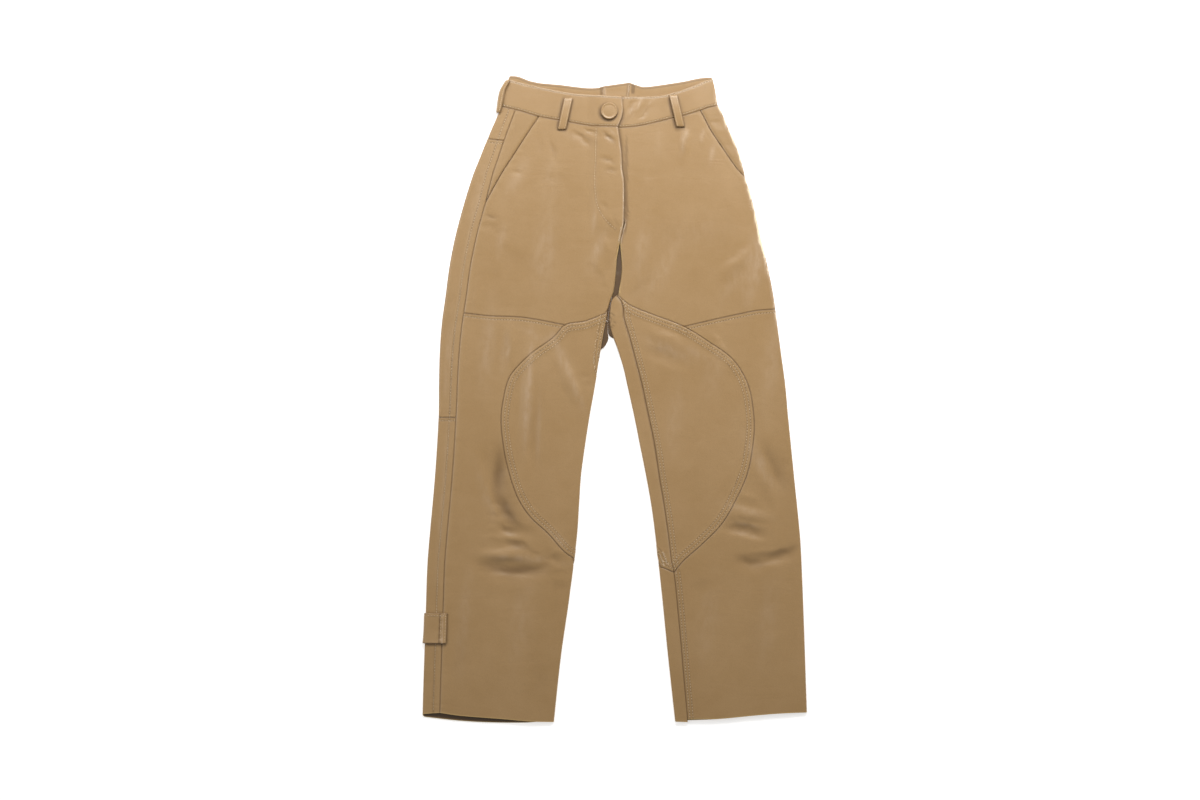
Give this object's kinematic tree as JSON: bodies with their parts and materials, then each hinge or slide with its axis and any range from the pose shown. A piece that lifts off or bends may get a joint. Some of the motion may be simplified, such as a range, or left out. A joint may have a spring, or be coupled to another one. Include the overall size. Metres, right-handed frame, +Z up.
{
  "type": "leather trousers, laid flat",
  "caption": "Straight tan leather trousers laid flat, front up, with slant pockets, a covered button, half-moon inner-leg patches, raw hems and an ankle tab.",
  "frame": {"origin": "middle of the underside of the bounding box, on the surface that the garment lies on", "axes": "+Y towards the waist, +X towards the wearer's left side, +Z up from the surface, out of the garment's front"},
  "size_m": [0.5752, 0.9692, 0.0136],
  "materials": {
    "leather": "semi_gloss",
    "patch_leather": "semi_gloss",
    "facing_leather": "semi_gloss"
  },
  "bodies": {
    "root": {"front_thigh_right": "leather", "front_thigh_left": "leather", "front_leg_right": "leather", "front_leg_left": "leather", "knee_patch_right": "patch_leather", "knee_patch_left": "patch_leather", "pocket_facing_right": "facing_leather", "pocket_facing_left": "facing_leather", "back_yoke_right": "leather", "back_yoke_left": "leather", "back_thigh_right": "leather", "back_thigh_left": "leather", "back_leg_right": "leather", "back_leg_left": "leather", "back_patch_right": "patch_leather", "back_patch_left": "patch_leather", "waistband_right": "patch_leather", "waistband_left": "patch_leather", "waistband_back_centre": "patch_leather", "belt_loop_front_right": "patch_leather", "belt_loop_front_left": "patch_leather", "belt_loop_side_right": "patch_leather", "ankle_tab_right": "patch_leather", "button": "patch_leather"}
  },
  "joints": []
}
